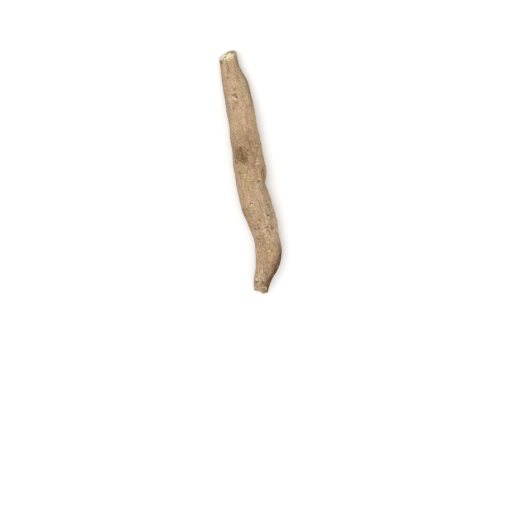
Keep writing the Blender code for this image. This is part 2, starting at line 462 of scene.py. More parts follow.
def cells(points):
    """Uneven cells one unit wide: how far each point is from an edge, and its cell's level."""
    gaps = np.empty(len(points))
    levels = np.empty(len(points))
    for index, point in enumerate(points.tolist()):
        near, middles = noise.voronoi(point)
        gaps[index] = near[1] - near[0]
        levels[index] = noise.noise(middles[0] * CELL_LEVELS)
    return gaps, levels


def only(piece):
    """Make this the one object that the next operators act on."""
    if bpy.context.object and bpy.context.object.mode != "OBJECT":
        bpy.ops.object.mode_set(mode="OBJECT")
    bpy.ops.object.select_all(action="DESELECT")
    piece.select_set(True)
    bpy.context.view_layer.objects.active = piece


def edit_chosen(piece, kind, chosen):
    """Enter edit mode with only the chosen points or faces of the active piece selected."""
    bpy.ops.object.mode_set(mode="EDIT")
    bpy.ops.mesh.select_mode(type=kind)
    bpy.ops.mesh.select_all(action="DESELECT")
    bpy.ops.object.mode_set(mode="OBJECT")
    items = piece.data.vertices if kind == "VERT" else piece.data.polygons
    items.foreach_set("select", chosen)
    bpy.ops.object.mode_set(mode="EDIT")


def finish_with(piece, kind, **settings):
    """Add a modifier, set it and apply it."""
    only(piece)
    modifier = piece.modifiers.new(kind.title(), kind)
    for name, value in settings.items():
        setattr(modifier, name, value)
    bpy.ops.object.modifier_apply(modifier=modifier.name)


def vectors_of(collection, name):
    """One vector property of every item of a mesh's list, as an array."""
    flat = np.empty(len(collection) * 3, np.float32)
    collection.foreach_get(name, flat)
    return flat.reshape(-1, 3).astype(float)


def points_and_normals(piece):
    """A mesh's points in millimetres, and the directions that they face."""
    points = vectors_of(piece.data.vertices, "co") / MM
    return points, vectors_of(piece.data.vertex_normals, "vector")


def smoothed(column):
    """A column of a table with each value averaged with its neighbours."""
    half = SLICES_SMOOTHED // 2
    padded = np.pad(column, half, mode="edge")
    return np.convolve(padded, np.ones(SLICES_SMOOTHED) / SLICES_SMOOTHED, mode="valid")


def growth_line():
    """The middle of the root and its mean radius at steps along X, in millimetres."""
    points = vectors_of(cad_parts[NODE].data.vertices, "co") / MM
    low = CAD_BOX[0].x / MM + WHOLE_SLICE_FROM_END
    high = CAD_BOX[1].x / MM - WHOLE_SLICE_FROM_END
    steps = np.arange(low, high, SLICE)
    rows = []
    for step in steps:
        ring = points[np.abs(points[:, 0] - step) < SLICE, 1:]
        middle = (ring.min(axis=0) + ring.max(axis=0)) / 2
        radius = np.linalg.norm(ring - middle, axis=1).mean()
        rows.append((middle[0], middle[1], radius))
    return steps, [smoothed(column) for column in np.array(rows).T]


class Growth:
    """Places on the root as if it were straight: where a point lies along and round it."""

    def __init__(self, points):
        steps, (middle_y, middle_z, radius) = growth_line()
        x = points[:, 0]
        self.across = points[:, 1] - np.interp(x, steps, middle_y)
        self.upward = points[:, 2] - np.interp(x, steps, middle_z)
        self.radius = np.interp(x, steps, radius)
        self.distance = x - CAD_BOX[0].x / MM - CUT_TIP
        self.turn = np.arctan2(self.across, self.upward)
        scale = EVEN_RADIUS / self.radius
        self.even = np.column_stack((self.across * scale, self.upward * scale, self.distance))
        self.wobble = self.ripple(size=0.6, seed=157.0)

    def ripple(self, size, seed, along=None, bend=0.0):
        """Smooth noise over the bark, with folds of this size, or of another along the root."""
        return ripple(self.even, size, seed, along, bend)

    def slanted(self, slant):
        """The even places sheared, so that patterns on them run aslant round the root."""
        places = self.even.copy()
        places[:, 2] -= slant * places[:, 0]
        return places

    def offsets(self, distance, turn):
        """How far each point is round and along from a place on the bark, in millimetres."""
        away = half_turned(self.turn - math.radians(turn))
        return away * self.radius, self.distance - distance

    def spot(self, distance, turn, half_width, half_length):
        """1 at a place on the bark, falling off round it."""
        around, along = self.offsets(distance, turn)
        reach = np.hypot(around / half_width, along / half_length)
        return bell(reach * (1.0 + 0.35 * self.wobble), 1.0)

    def patches(self, places, least=0.0):
        """The strength of the strongest patch at each point of the bark, and at least this much."""
        strength = np.full(len(self.distance), least)
        for *place, share in places:
            strength = np.maximum(strength, share * self.spot(*place))
        return strength

    def chain(self, places, half_width):
        """1 along a line through several places on the bark, falling off beside it."""
        nearest = np.full(len(self.distance), np.inf)
        for first, last in zip(places, places[1:]):
            around, along = self.offsets(*first)
            turned = math.radians(last[1] - first[1]) * self.radius
            onward = last[0] - first[0]
            span = turned ** 2 + onward ** 2
            share = limited((around * turned + along * onward) / span)
            gap = np.hypot(around - share * turned, along - share * onward)
            nearest = np.minimum(nearest, gap)
        return bell(nearest * (1.0 + 0.6 * self.wobble), half_width)


def wart_and_shadowed_crack(growth, pebbles, distance, turn, half_width, half_length, side):
    """A low uneven wart, and the crack round one side of it, its dark partly painted shadow."""
    around, along = growth.offsets(distance, turn)
    around = around / half_width
    along = along / half_length
    reach = np.hypot(around, along) * (1.0 + 0.25 * pebbles + 0.25 * growth.wobble)
    beside = facing(np.arctan2(around, -along), math.radians(side), -0.1, 0.7)
    return 1.0 - smooth_step(reach, 0.25, 1.15), bell(reach - 1.25, 0.34) * beside


def crease_pattern(growth):
    """Long creases that wander along the bark, and finer ones, 0 to 1 down in them."""
    wander = growth.ripple(size=5.0, seed=4.0, along=9.0)[:, None] * CREASE_WANDER
    long_folds = growth.ripple(size=1.5, seed=11.0, along=11.0, bend=wander)
    short_folds = growth.ripple(size=0.8, seed=23.0, along=4.0, bend=wander)
    strength = 0.55 + 0.45 * growth.ripple(size=6.0, seed=37.0, along=10.0)
    deep = smooth_step(1.0 - np.abs(long_folds) * 1.6, 0.62, 1.0)
    fine = smooth_step(1.0 - np.abs(short_folds) * 1.6, 0.55, 1.0)
    return deep * strength, fine * strength


def net_pattern(growth):
    """A slanting net over the bark: its raised threads and its sunken cells, 0 to 1 each."""
    bend = 0.45 * growth.ripple(size=1.2, seed=151.0)[:, None]
    gaps = cells(growth.slanted(NET_SLANT) / NET_CELL + bend)[0]
    sunken = smooth_step(growth.ripple(size=0.9, seed=97.0), -0.22, 0.22)
    return 1.0 - smooth_step(gaps, 0.02, 0.42), smooth_step(gaps, 0.22, 0.60) * sunken


def wrinkle_pattern(growth):
    """Short folds that run round the root, where the bark shrank along it."""
    wander = 0.5 * growth.ripple(size=1.6, seed=47.0)[:, None]
    folds = ripple(growth.slanted(WRINKLE_SLANT) + wander, size=1.9, seed=51.0, along=0.66)
    zones = 0.30 + 0.25 * growth.ripple(size=5.0, seed=61.0, along=6.0)
    for distance, half_length, share in WRINKLE_ZONES:
        zones = zones + share * bell(growth.distance - distance, half_length)
    return folds * np.clip(zones, 0.0, 1.3)


def scattered(count, seed, half_width, half_length):
    """Seeded places all over the bark: distance, turn, half width, half length and share."""
    draw = random.Random(seed)
    length = (CAD_BOX[1].x - CAD_BOX[0].x) / MM
    for _ in range(count):
        distance = draw.uniform(3.0, length - 5.0)
        turn = draw.uniform(-180.0, 180.0)
        size = draw.uniform(0.6, 1.2)
        yield distance, turn, half_width * size, half_length * size, draw.uniform(0.4, 1.0)


def bark_relief(growth, looks):
    """Height of the bark in millimetres, then how pale and dark it is and its relief tone, 0 to 1.
    """
    deep, fine = crease_pattern(growth)
    near_cut = 1.0 - smooth_step(growth.distance, *FINE_CREASES_EASE)
    shown = facing(growth.turn, 0.0, -0.2, 0.9)
    lively = 1.0 + 0.5 * smooth_step(growth.distance, *LIVELIER_FROM) - 0.25 * shown
    lively -= 0.4 * smooth_step(growth.distance, *CALMER_FROM)
    pebbles = growth.ripple(size=1.05, seed=71.0) * lively
    grains = growth.ripple(size=0.52, seed=83.0) * lively
    wrinkles = wrinkle_pattern(growth)
    threads, hollows = net_pattern(growth)
    rough = growth.patches(ROUGH_ZONES, ROUGH_EVERYWHERE)
    height = -(CREASE_DEPTH - CREASE_EASED * shown) * deep
    height -= FINE_CREASE_DEPTH * fine * (1.0 + near_cut)
    height += PEBBLE_HEIGHT * pebbles + GRAIN_HEIGHT * grains + WRINKLE_HEIGHT * wrinkles
    height += rough * (THREAD_HEIGHT * threads - HOLLOW_DEPTH * hollows)
    # Relief tone: lighter on raised bark and darker in its creases.
    relief_tone = 0.5 + 0.42 * grains + 0.12 * pebbles + 0.30 * wrinkles - 0.25 * deep - 0.20 * fine
    relief_tone += rough * (0.65 * threads - 0.45 * hollows)
    pale = 0.20 * rough * threads
    dark = np.maximum(0.20 * deep + 0.10 * fine, 0.72 * rough * hollows)

    for *place, share in scattered(*FLECKS):
        fleck = growth.spot(*place)
        height += FLECK_HEIGHT * share * fleck
        pale = np.maximum(pale, 0.35 * share * fleck)
    for *place, share in scattered(*PINPRICKS):
        pit = growth.spot(*place)
        height -= PINPRICK_DEPTH * share * pit
        dark = np.maximum(dark, 0.60 * share * pit)
    for *place, rise, side in ROOTLET_SCARS:
        wart, crack = wart_and_shadowed_crack(growth, pebbles, *place, side)
        height += rise * wart * (1.0 + 0.8 * grains + 0.5 * pebbles) - 0.8 * rise * crack
        paleness = smooth_step(rise, -0.06, 0.30) * limited(0.85 + 0.9 * grains)
        pale = np.maximum(pale * (1.0 - wart), wart * paleness)
        # The crack beside each wart is darkened further as a painted shadow crescent.
        dark = np.maximum(dark * (1.0 - wart), 0.95 * crack)
    for *place, depth in PITS:
        pit = growth.spot(*place)
        height -= depth * pit
        dark = np.maximum(dark, smooth_step(depth, 0.0, 0.16) * pit)
    for half_width, rise, places in FOLDS:
        fold = growth.chain(places, half_width)
        height += rise * fold
        pale = np.maximum(pale, smooth_step(rise, 0.0, 0.15) * fold)
        dark = dark * (1.0 - 0.8 * fold)
    for half_width, depth, places in CRACKS:
        crack = growth.chain(places, half_width)
        height -= depth * crack
        dark = np.maximum(dark, smooth_step(depth, 0.0, 0.15) * crack)
        pale = pale * (1.0 - crack)
    return height * looks.relief, pale, limited(dark), limited(relief_tone)


def ragged_patches(growth, patches, broken, seed):
    """Tinted patches whose edges and middles are broken up by finer noise, 0 to 1."""
    coarse = growth.ripple(size=1.5, seed=seed)
    fine = growth.ripple(size=0.7, seed=seed + 5.0)
    uneven = 1.0 + broken * (0.6 * coarse + 0.6 * fine)
    return limited(growth.patches(patches) * uneven)


def shaded_brown_flank(growth, bumps):
    """The side next to the snapped end: mostly painted shade, partly browned, 0 to 1."""
    distance = growth.distance + 1.5 * bumps
    slant_from, slant_to, slant = FLANK_SLANT
    widens_at, widening = FLANK_WIDENS
    turn = np.degrees(growth.turn) + 8.0 * bumps + 4.0 * growth.wobble
    fading = smooth_step(turn, *FLANK_FADES)
    turn -= slant * (1.0 - smooth_step(distance, slant_from, slant_to))
    turn += widening * np.maximum(distance - widens_at, 0.0)
    side = sum(share * smooth_step(turn, first, last) for first, last, share in FLANK_STEPS)
    side *= (1.0 - fading) * smooth_step(distance, *FLANK_START)
    coarse = growth.ripple(size=1.6, seed=171.0)
    fine = growth.ripple(size=0.7, seed=173.0)
    return limited(side * (1.0 + 0.25 * coarse + 0.20 * fine))


def cut_relief(points):
    """The cut face: height in millimetres, darkness, stains with painted rim shade, grey, and
    shares.
    """
    side = (points - CUT_MIDDLE) @ CUT_SIDE
    up = points[:, 2] - CUT_MIDDLE[2]
    share = np.hypot(side, up) / CUT_RADIUS
    angle = np.arctan2(side, up)
    flat = np.column_stack((side, up, np.zeros(len(side))))
    strokes = np.column_stack((side * 0.25 + up * 2.6, side * 0.1, up * 0.0))
    warp = ripple(flat, size=0.9, seed=3.0)
    fine_warp = ripple(flat, size=0.38, seed=9.0)
    rays = np.sin(CUT_RAYS * angle + 2.6 * warp) * smooth_step(share, 0.15, 0.5)
    ring = bell(share - CUT_RING - 0.03 * warp, 0.035)
    pores = smooth_step(ripple(flat, size=0.20, seed=7.0), 0.25, 0.6)
    cracks = np.zeros(len(side))
    for crack_angle, low, high, half_width in CUT_CRACKS:
        away = half_turned(angle - math.radians(crack_angle) + 0.3 * warp)
        inside = smooth_step(share, low, low + 0.1) * smooth_step(high - share, 0.0, 0.12)
        cracks = np.maximum(cracks, bell(away * share * CUT_RADIUS, half_width) * inside)
    height = RAY_HEIGHT * rays - RING_DEPTH * ring - PORE_DEPTH * pores
    height += KNIFE_MARK_HEIGHT * ripple(strokes, size=1.0, seed=13.0)
    height += 0.07 * ripple(flat, size=0.8, seed=17.0) + 0.03 * ripple(flat, size=0.35, seed=19.0)
    height -= CUT_CRACK_DEPTH * cracks

    spots = np.zeros(len(side))
    for spot_side, spot_up, half_width, half_height, strength in CUT_STAINS:
        reach = np.hypot((side - spot_side) / half_width, (up - spot_up) / half_height)
        reach = reach * (1.0 + 0.35 * warp + 0.5 * fine_warp)
        spots = np.maximum(spots, strength * (1.0 - smooth_step(reach, 0.60, 1.25)))
    # The far rim's olive mark: partly a real stain, partly painted shade.
    far_rim = smooth_step(share + 0.1 * warp + 0.12 * fine_warp, 0.40, 0.62)
    far_rim *= facing(angle, FAR_RIM_SIDE, 0.35, 0.72)
    spots = np.maximum(spots, far_rim * (1.05 + 0.2 * warp)) * (1.1 + 0.5 * fine_warp)
    dark = limited(0.70 * cracks + 0.12 * ring + 0.14 * pores)
    greyed = smooth_step(-side + 0.5 * warp, 0.7, 2.2)
    return height, dark, limited(spots), greyed, share


def torn_relief(growth):
    """Height of the torn wood along X in millimetres, and how deep in the gaps it is, 0 to 1."""
    flat = np.column_stack((growth.across * 0.55, growth.upward, np.zeros(len(growth.across))))
    bend = 0.22 * ripple(flat, size=0.7, seed=5.0)[:, None]
    gaps, levels = cells((flat + bend) / TORN_CELL)
    gap = 1.0 - smooth_step(gaps, 0.0, 0.16)
    broad = ripple(flat, size=1.5, seed=31.0)
    height = 0.20 * levels + 0.30 * broad - 0.05 * gap + 0.07 * ripple(flat, size=0.28, seed=41.0)
    return height, limited(0.35 * gap + smooth_step(-broad, 0.0, 0.5))


def soft_mask(piece, mask):
    """A mask averaged with its neighbours along the edges of the mesh."""
    flat = np.empty(len(piece.data.edges) * 2, np.int32)
    piece.data.edges.foreach_get("vertices", flat)
    first, second = flat.reshape(-1, 2).T
    count = np.bincount(flat, minlength=len(mask))
    for _ in range(MASK_ROUNDS):
        total = np.bincount(first, mask[second], len(mask))
        total += np.bincount(second, mask[first], len(mask))
        mask = 0.5 * mask + 0.5 * total / count
    return mask


def end_masks(piece):
    """Where the skin is the knife cut and where it is torn wood, 0 to 1."""
    points, normals = points_and_normals(piece)
    near_low = points[:, 0] < CAD_BOX[0].x / MM + CUT_REACH
    near_high = CAD_BOX[1].x / MM - points[:, 0] < SNAP_REACH
    cut = near_low & (normals @ CUT_NORMAL > CUT_FACING)
    torn = near_high & (normals[:, 0] > SNAP_FACING)
    return soft_mask(piece, cut.astype(float)), soft_mask(piece, torn.astype(float))


def refine_ends(piece):
    """Divide the faces of the two ends more finely."""
    only(piece)
    cut, torn = end_masks(piece)
    edit_chosen(piece, "VERT", (cut + torn) > MASK_REFINES)
    bpy.ops.mesh.select_mode(type="FACE")
    bpy.ops.mesh.subdivide(number_cuts=1, smoothness=0.0)
    bpy.ops.object.mode_set(mode="OBJECT")


def root_mesh(cell):
    """A copy of the root's solid with an even, fine skin."""
    piece = copy_of(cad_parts[NODE], "dried_root")
    piece.data.materials.clear()
    only(piece)
    bpy.ops.mesh.customdata_custom_splitnormals_clear()
    bpy.ops.object.mode_set(mode="EDIT")
    bpy.ops.mesh.select_all(action="SELECT")
    bpy.ops.mesh.remove_doubles(threshold=1e-6)
    bpy.ops.mesh.tris_convert_to_quads(face_threshold=0.7, shape_threshold=0.7)
    bpy.ops.mesh.select_all(action="DESELECT")
    bpy.ops.mesh.select_mode(type="EDGE")
    bpy.ops.mesh.edges_select_sharp(sharpness=RIM_SHARPNESS)
    bpy.ops.transform.edge_crease(value=RIM_CREASE)
    bpy.ops.object.mode_set(mode="OBJECT")
    finish_with(piece, "SUBSURF", levels=2, render_levels=2)
    finish_with(piece, "REMESH", mode="VOXEL", voxel_size=cell)
    finish_with(piece, "SMOOTH", factor=0.5, iterations=4)
    return piece


def chip_pattern(growth, bumps):
    """The chip by the snapped end: its broken middle, how dark that is, and its pale edge."""
    around, along = growth.offsets(*CHIP_PLACE)
    reach = np.hypot(around / CHIP_HALF_WIDTH, np.minimum(along, 0.0) / CHIP_HALF_LENGTH)
    reach = reach * (1.0 + 0.16 * bumps + 0.10 * growth.wobble)
    edge = bell(reach - 1.0, 0.15) * np.clip(0.95 + 0.5 * growth.wobble, 0.6, 1.0)
    inside = 1.0 - smooth_step(reach, 0.74, 0.90)
    shaded = 1.0 - 0.75 * smooth_step(along + 0.25 * around, -0.2, 0.5)
    return inside, inside * shaded, edge


def corner_set_back(growth):
    """How far the snapped end stands back at its missing corner, in millimetres."""
    away = half_turned(growth.turn - CORNER_TURN)
    outward = smooth_step(np.hypot(growth.across, growth.upward) / growth.radius, 0.15, 0.85)
    along = smooth_step(growth.distance, *CORNER_STRETCH)
    return CORNER_DEPTH * bell(away, CORNER_HALF_TURN) * outward * along


def rim_pattern(points, growth, bumps):
    """The rim of the knife cut: where it is worn, its ragged lumps, and the gaps in it."""
    depth = (CUT_MIDDLE - points) @ CUT_NORMAL
    reach = WORN_RIM * (0.45 + 0.55 * facing(growth.turn, WORN_SIDE, 0.2, 0.9))
    rim = smooth_step(reach * (1.0 + 0.8 * bumps) - depth, 0.0, 0.25)
    ragged = rim * facing(growth.turn, RAGGED_SIDE, 0.25, 0.75)
    lumps = growth.ripple(size=0.62, seed=191.0)
    return rim, ragged * lumps, ragged * smooth_step(-lumps, 0.08, 0.36)


def carve_root(piece, looks):
    """Raise and sink the skin into bark, cut face and torn wood, and keep its masks."""
    cut, torn = end_masks(piece)
    bark = limited(1.0 - cut - torn)
    points, normals = points_and_normals(piece)
    growth = Growth(points)
    bumps = growth.ripple(size=1.1, seed=113.0)
    bark_height, pale, dark, relief_tone = bark_relief(growth, looks)
    cut_height, cut_dark, cut_spots, cut_grey, share = cut_relief(points)
    torn_height, torn_gap = torn_relief(growth)
    chip, chip_dark, chip_edge = chip_pattern(growth, bumps)
    chip_edge = chip_edge * (1.0 - torn)
    rim, lumps, gaps = (mask * bark for mask in rim_pattern(points, growth, bumps))
    bark_height += CHIP_EDGE_HEIGHT * chip_edge - CHIP_DEPTH * chip * (1.0 - torn)
    bark_height += LUMP_HEIGHT * lumps - RIM_WEAR * rim

    off_table = smooth_step(points[:, 2], 0.02, 0.5)
    moved = points + normals * (bark_height * bark * off_table)[:, None]
    moved += CUT_NORMAL * (cut_height * cut)[:, None]
    moved[:, 0] += torn_height * torn - corner_set_back(growth)
    moved[:, 2] = np.maximum(moved[:, 2], 0.0)
    piece.data.vertices.foreach_set("co", (moved * MM).astype(np.float32).ravel())
    piece.data.update()

    light = 0.16 * ragged_patches(growth, LIGHTS, broken=0.5, seed=163.0)
    edges = np.maximum(0.85 * rim * (1.0 - 0.8 * dark), chip_edge)
    pale = limited(np.maximum(pale + light, edges))
    dark = np.maximum(dark, 0.62 * gaps)
    # Real dark patches, some of them darkened with painted shade.
    stain_and_shade = ragged_patches(growth, STAINS_AND_SHADES, broken=0.9, seed=103.0)
    ochre = ragged_patches(growth, OCHRES, broken=0.8, seed=127.0)
    # Greyish patches, two of them painted shade.
    grey = ragged_patches(growth, GREYS, broken=0.6, seed=139.0)
    masks = {
        "pale": pale * (1.0 - gaps) * bark,
        "dark": dark * bark + cut_dark * cut + torn_gap * torn,
        "relief_tone": relief_tone * bark + 0.5 * (1.0 - bark),
        "stain_and_shade": stain_and_shade * bark + cut_spots * cut,
        # Mostly painted shade on the flank by the snapped end, partly real brown.
        "shaded_flank": shaded_brown_flank(growth, bumps) * bark,
        "ochre": ochre * bark,
        "grey": grey * bark + cut_grey * cut,
        "chip": chip_dark * bark,
        "share": share,
    }
    for name, values in masks.items():
        layer = piece.data.attributes.new(name, "FLOAT", "POINT")
        layer.data.foreach_set("value", values.astype(np.float32))
    layer = piece.data.attributes.new("grown", "FLOAT_VECTOR", "POINT")
    layer.data.foreach_set("vector", growth.even.astype(np.float32).ravel())
    return cut, torn


def give_materials(piece, cut, torn, materials):
    """Bark on most faces, cut wood and torn wood where the masks say so."""
    for material in materials:
        piece.data.materials.append(material)
    for face in piece.data.polygons:
        corners = list(face.vertices)
        is_cut = cut[corners].mean() > MASK_COVERS
        is_torn = torn[corners].mean() > MASK_COVERS
        face.material_index = CUT_SLOT if is_cut else TORN_SLOT if is_torn else BARK_SLOT
        face.use_smooth = True


def copy_of(piece, name):
    """A copy of a piece with a mesh of its own."""
    copy = bpy.data.objects.new(name, piece.data.copy())
    bpy.context.collection.objects.link(copy)
    return copy


def splinter():
    """One torn fibre bundle along +X, thick at its root, bent and frayed to a point."""
    straight = SPLINTER_ROOT * SPLINTER_LENGTH
    step = (SPLINTER_LENGTH - straight) / len(SPLINTER_STEPS)
    bpy.ops.object.select_all(action="DESELECT")
    bpy.ops.mesh.primitive_cylinder_add(
        vertices=6, radius=SPLINTER_THICKNESS, depth=straight,
        location=(straight / 2, 0.0, 0.0), rotation=(0.0, math.radians(90.0), 0.0))
    piece = bpy.context.object
    bpy.ops.object.transform_apply(location=True, rotation=True, scale=True)
    for narrow, rise, drift in SPLINTER_STEPS:
        places = [face.center.x for face in piece.data.polygons]
        tip = places.index(max(places))
        edit_chosen(piece, "FACE", [index == tip for index in range(len(places))])
        ahead = (step, drift * SPLINTER_THICKNESS, rise * SPLINTER_THICKNESS)
        bpy.ops.mesh.extrude_region_move(TRANSFORM_OT_translate={"value": ahead})
        bpy.ops.transform.resize(value=(narrow, narrow, 0.8 * narrow))
        bpy.ops.object.mode_set(mode="OBJECT")
    finish_with(piece, "SUBSURF", levels=1, render_levels=1)
    bpy.ops.object.shade_smooth()
    return piece


def joined(pieces, name):
    """Several small pieces made one, at the origin, unturned and unscaled."""
    only(pieces[0])
    for piece in pieces:
        piece.select_set(True)
    bpy.ops.object.join()
    bpy.ops.object.transform_apply(location=True, rotation=True, scale=True)
    bpy.context.object.name = name
    bpy.context.object.data.name = name
    return bpy.context.object


def torn_places(body, count, seed, low_share, high_share):
    """Seeded places on the torn wood, with their way out from its middle and share of it."""
    faces = [face for face in body.data.polygons if face.material_index == TORN_SLOT]
    centres = np.array([face.center for face in faces])
    middle = (centres.min(axis=0) + centres.max(axis=0)) / 2
    reach = np.linalg.norm(centres[:, 1:] - middle[1:], axis=1)
    shares = reach / reach.max()
    draw = random.Random(seed)
    fitting = [index for index in range(len(faces)) if low_share < shares[index] < high_share]
    chosen = draw.sample(fitting, count)
    return [(Vector(centres[index]), centres[index] - middle, shares[index]) for index in chosen]


def add_torn_fibres(body, looks):
    """Short splinters that stand out of the torn wood, most of them near its edge."""
    pattern = splinter()
    draw = random.Random(SPLINTER_SEED)
    pieces = []
    for thirds, seed, low, high in SPLINTER_GROUPS:
        count = looks.fibre_count * thirds // 3
        for place, outward, share in torn_places(body, count, seed, low, high):
            copy = copy_of(pattern, "fibre")
            copy.scale = [draw.uniform(least, most) for least, most in SPLINTER_SCALES]
            lean = SPLINTER_LEAN * share / MM
            copy.rotation_euler = (draw.uniform(0.0, SPLINTER_SPIN),
                                   -lean * outward[2] + draw.uniform(*SPLINTER_TILT),
                                   lean * outward[1] + draw.uniform(*SPLINTER_TILT))
            copy.location = place - Vector((SPLINTER_SINK, 0.0, 0.0))
            pieces.append(copy)
    bpy.data.objects.remove(pattern)
    return joined(pieces, "torn_fibres")


def four(colour):
    """A colour with its alpha."""
    return (*colour, 1.0)


class NodeTree:
    """A material's or a group's nodes, with short calls that add linked ones."""

    def __init__(self, tree):
        self.tree = tree

    def feed(self, node, name, value):
        """Link a socket to an output, or set it to a value."""
        socket = node.inputs[name]
        if isinstance(value, bpy.types.NodeSocket):
            self.tree.links.new(value, socket)
        else:
            socket.default_value = value

    def add(self, kind, feeds=(), **settings):
        """Add a node, set its plain properties and feed its sockets."""
        node = self.tree.nodes.new(kind)
        for name, value in settings.items():
            setattr(node, name, value)
        for name, value in feeds:
            self.feed(node, name, value)
        return node

    def attribute(self, name, output="Fac"):
        """A value that each point of the piece keeps."""
        return self.add("ShaderNodeAttribute", attribute_name=name).outputs[output]

    def millimetres(self):
        """The place on the piece, in millimetres."""
        place = self.add("ShaderNodeTexCoord").outputs["Object"]
        return self.vectors("MULTIPLY", place, (1.0 / MM,) * 3)

    def noise(self, vector, size, detail=2.0, roughness=0.5, warp=0.0):
        """Noise with folds of this size in the vector's own unit."""
        return self.add("ShaderNodeTexNoise", (
            ("Vector", vector), ("Scale", 1.0 / size), ("Detail", detail),
            ("Roughness", roughness), ("Distortion", warp))).outputs["Fac"]

    def turned(self, vector):
        """A vector whose first axis becomes the third, the way that fibres run."""
        parts = self.add("ShaderNodeSeparateXYZ", [("Vector", vector)]).outputs
        return self.add("ShaderNodeCombineXYZ", (
            ("X", parts["Y"]), ("Y", parts["Z"]), ("Z", parts["X"]))).outputs["Vector"]

    def spread(self, value, low, high, to_low=0.0, to_high=1.0):
        """A value carried smoothly from one range to another."""
        return self.add("ShaderNodeMapRange", (
            ("Value", value), ("From Min", low), ("From Max", high), ("To Min", to_low),
            ("To Max", to_high)), interpolation_type="SMOOTHSTEP").outputs["Result"]

    def reckon(self, operation, first, second, kind="ShaderNodeMath"):
        """One step of arithmetic."""
        return self.add(kind, ((0, first), (1, second)), operation=operation).outputs[0]

    def vectors(self, operation, first, second):
        """One step of arithmetic with vectors."""
        return self.reckon(operation, first, second, "ShaderNodeVectorMath")

    def mix(self, factor, first, second, blend="MIX"):
        """Two colours mixed by a factor."""
        return self.add("ShaderNodeMix", (("Factor", factor), ("A", first), ("B", second)),
                        data_type="RGBA", blend_type=blend).outputs["Result"]

    def tinted(self, colour, *layers):
        """A colour with tints laid over it, each by its mask and its share."""
        for mask, share, tint in layers:
            colour = self.mix(self.reckon("MULTIPLY", mask, share), colour, four(tint))
        return colour

    def shaded(self, colour, value, darkest, lightest):
        """A colour multiplied by a tint that runs from one colour to another with a value."""
        tint = self.add("ShaderNodeCombineColor", [
            (name, self.spread(value, 0.0, 1.0, low, high))
            for name, low, high in zip(("Red", "Green", "Blue"), darkest, lightest)])
        return self.mix(1.0, colour, tint.outputs["Color"], "MULTIPLY")

    def graded(self, colour, value, low, high):
        """A colour made darker or lighter with a value."""
        return self.mix(1.0, colour, self.spread(value, 0.0, 1.0, low, high), "MULTIPLY")

    def group(self, name, vector, size):
        """A shared effect at its own size."""
        return self.add("ShaderNodeGroup", (("Vector", vector), ("Size", size)),
                        node_tree=bpy.data.node_groups[name]).outputs


def new_group(name, size, outputs):
    """A shader node group that takes a vector and a size, and the vector in units of that size."""
    group = bpy.data.node_groups.new(name, "ShaderNodeTree")
    group.interface.new_socket("Vector", in_out="INPUT", socket_type="NodeSocketVector")
    socket = group.interface.new_socket("Size", in_out="INPUT", socket_type="NodeSocketFloat")
    socket.default_value = size
    for label in outputs:
        group.interface.new_socket(label, in_out="OUTPUT", socket_type="NodeSocketFloat")
    tree = NodeTree(group)
    given = tree.add("NodeGroupInput").outputs
    unit = tree.vectors("DIVIDE", given["Vector"], given["Size"])
    return tree, unit, tree.add("NodeGroupOutput")


def make_blotches():
    """Soft patches of two sizes, for colour that drifts over a surface."""
    tree, unit, result = new_group("soft_blotches", 3.0, ("Broad", "Small"))
    broad = tree.noise(unit, 1.0, detail=3.0, warp=0.4)
    small = tree.noise(unit, 0.36, detail=3.0, warp=0.6)
    tree.feed(result, "Broad", tree.spread(broad, 0.36, 0.66))
    tree.feed(result, "Small", tree.spread(small, 0.36, 0.66))


def make_specks():
    """Fine grains and specks, lighter and darker, with their height."""
    tree, unit, result = new_group("fine_specks", 0.4, ("Grain", "Specks", "Height"))
    grain = tree.noise(unit, 1.0, detail=4.0, roughness=0.62)
    specks = tree.noise(unit, 0.62, detail=1.0)
    tree.feed(result, "Grain", tree.spread(grain, 0.30, 0.70))
    tree.feed(result, "Specks", tree.spread(specks, 0.64, 0.76))
    tree.feed(result, "Height", tree.reckon("ADD", grain, tree.reckon("MULTIPLY", specks, 0.4)))


def make_fibres():
    """Long thin streaks that run along the third axis of the vector."""
    tree, unit, result = new_group("long_fibres", 0.3, ("Streaks", "Height"))
    long_way = tree.vectors("MULTIPLY", unit, (1.0, 1.0, 0.10))
    streaks = tree.noise(long_way, 1.0, detail=3.0, roughness=0.6, warp=0.5)
    tree.feed(result, "Streaks", tree.spread(streaks, 0.33, 0.67))
    tree.feed(result, "Height", streaks)


def shader_of(name, roughness):
    """A new material, its nodes and its Principled shader."""
    material = bpy.data.materials.new(name)
    material.use_nodes = True
    shader = material.node_tree.nodes["Principled BSDF"]
    shader.inputs["Specular IOR Level"].default_value = DRY_SPECULAR
    shader.inputs["Roughness"].default_value = roughness
    return material, NodeTree(material.node_tree), shader


def raise_by(tree, shader, height, distance, strength):
    """Small relief from a height, in metres, through a Bump node."""
    bump = tree.add("ShaderNodeBump", (
        ("Distance", distance), ("Strength", strength), ("Height", height)))
    tree.feed(shader, "Normal", bump.outputs["Normal"])


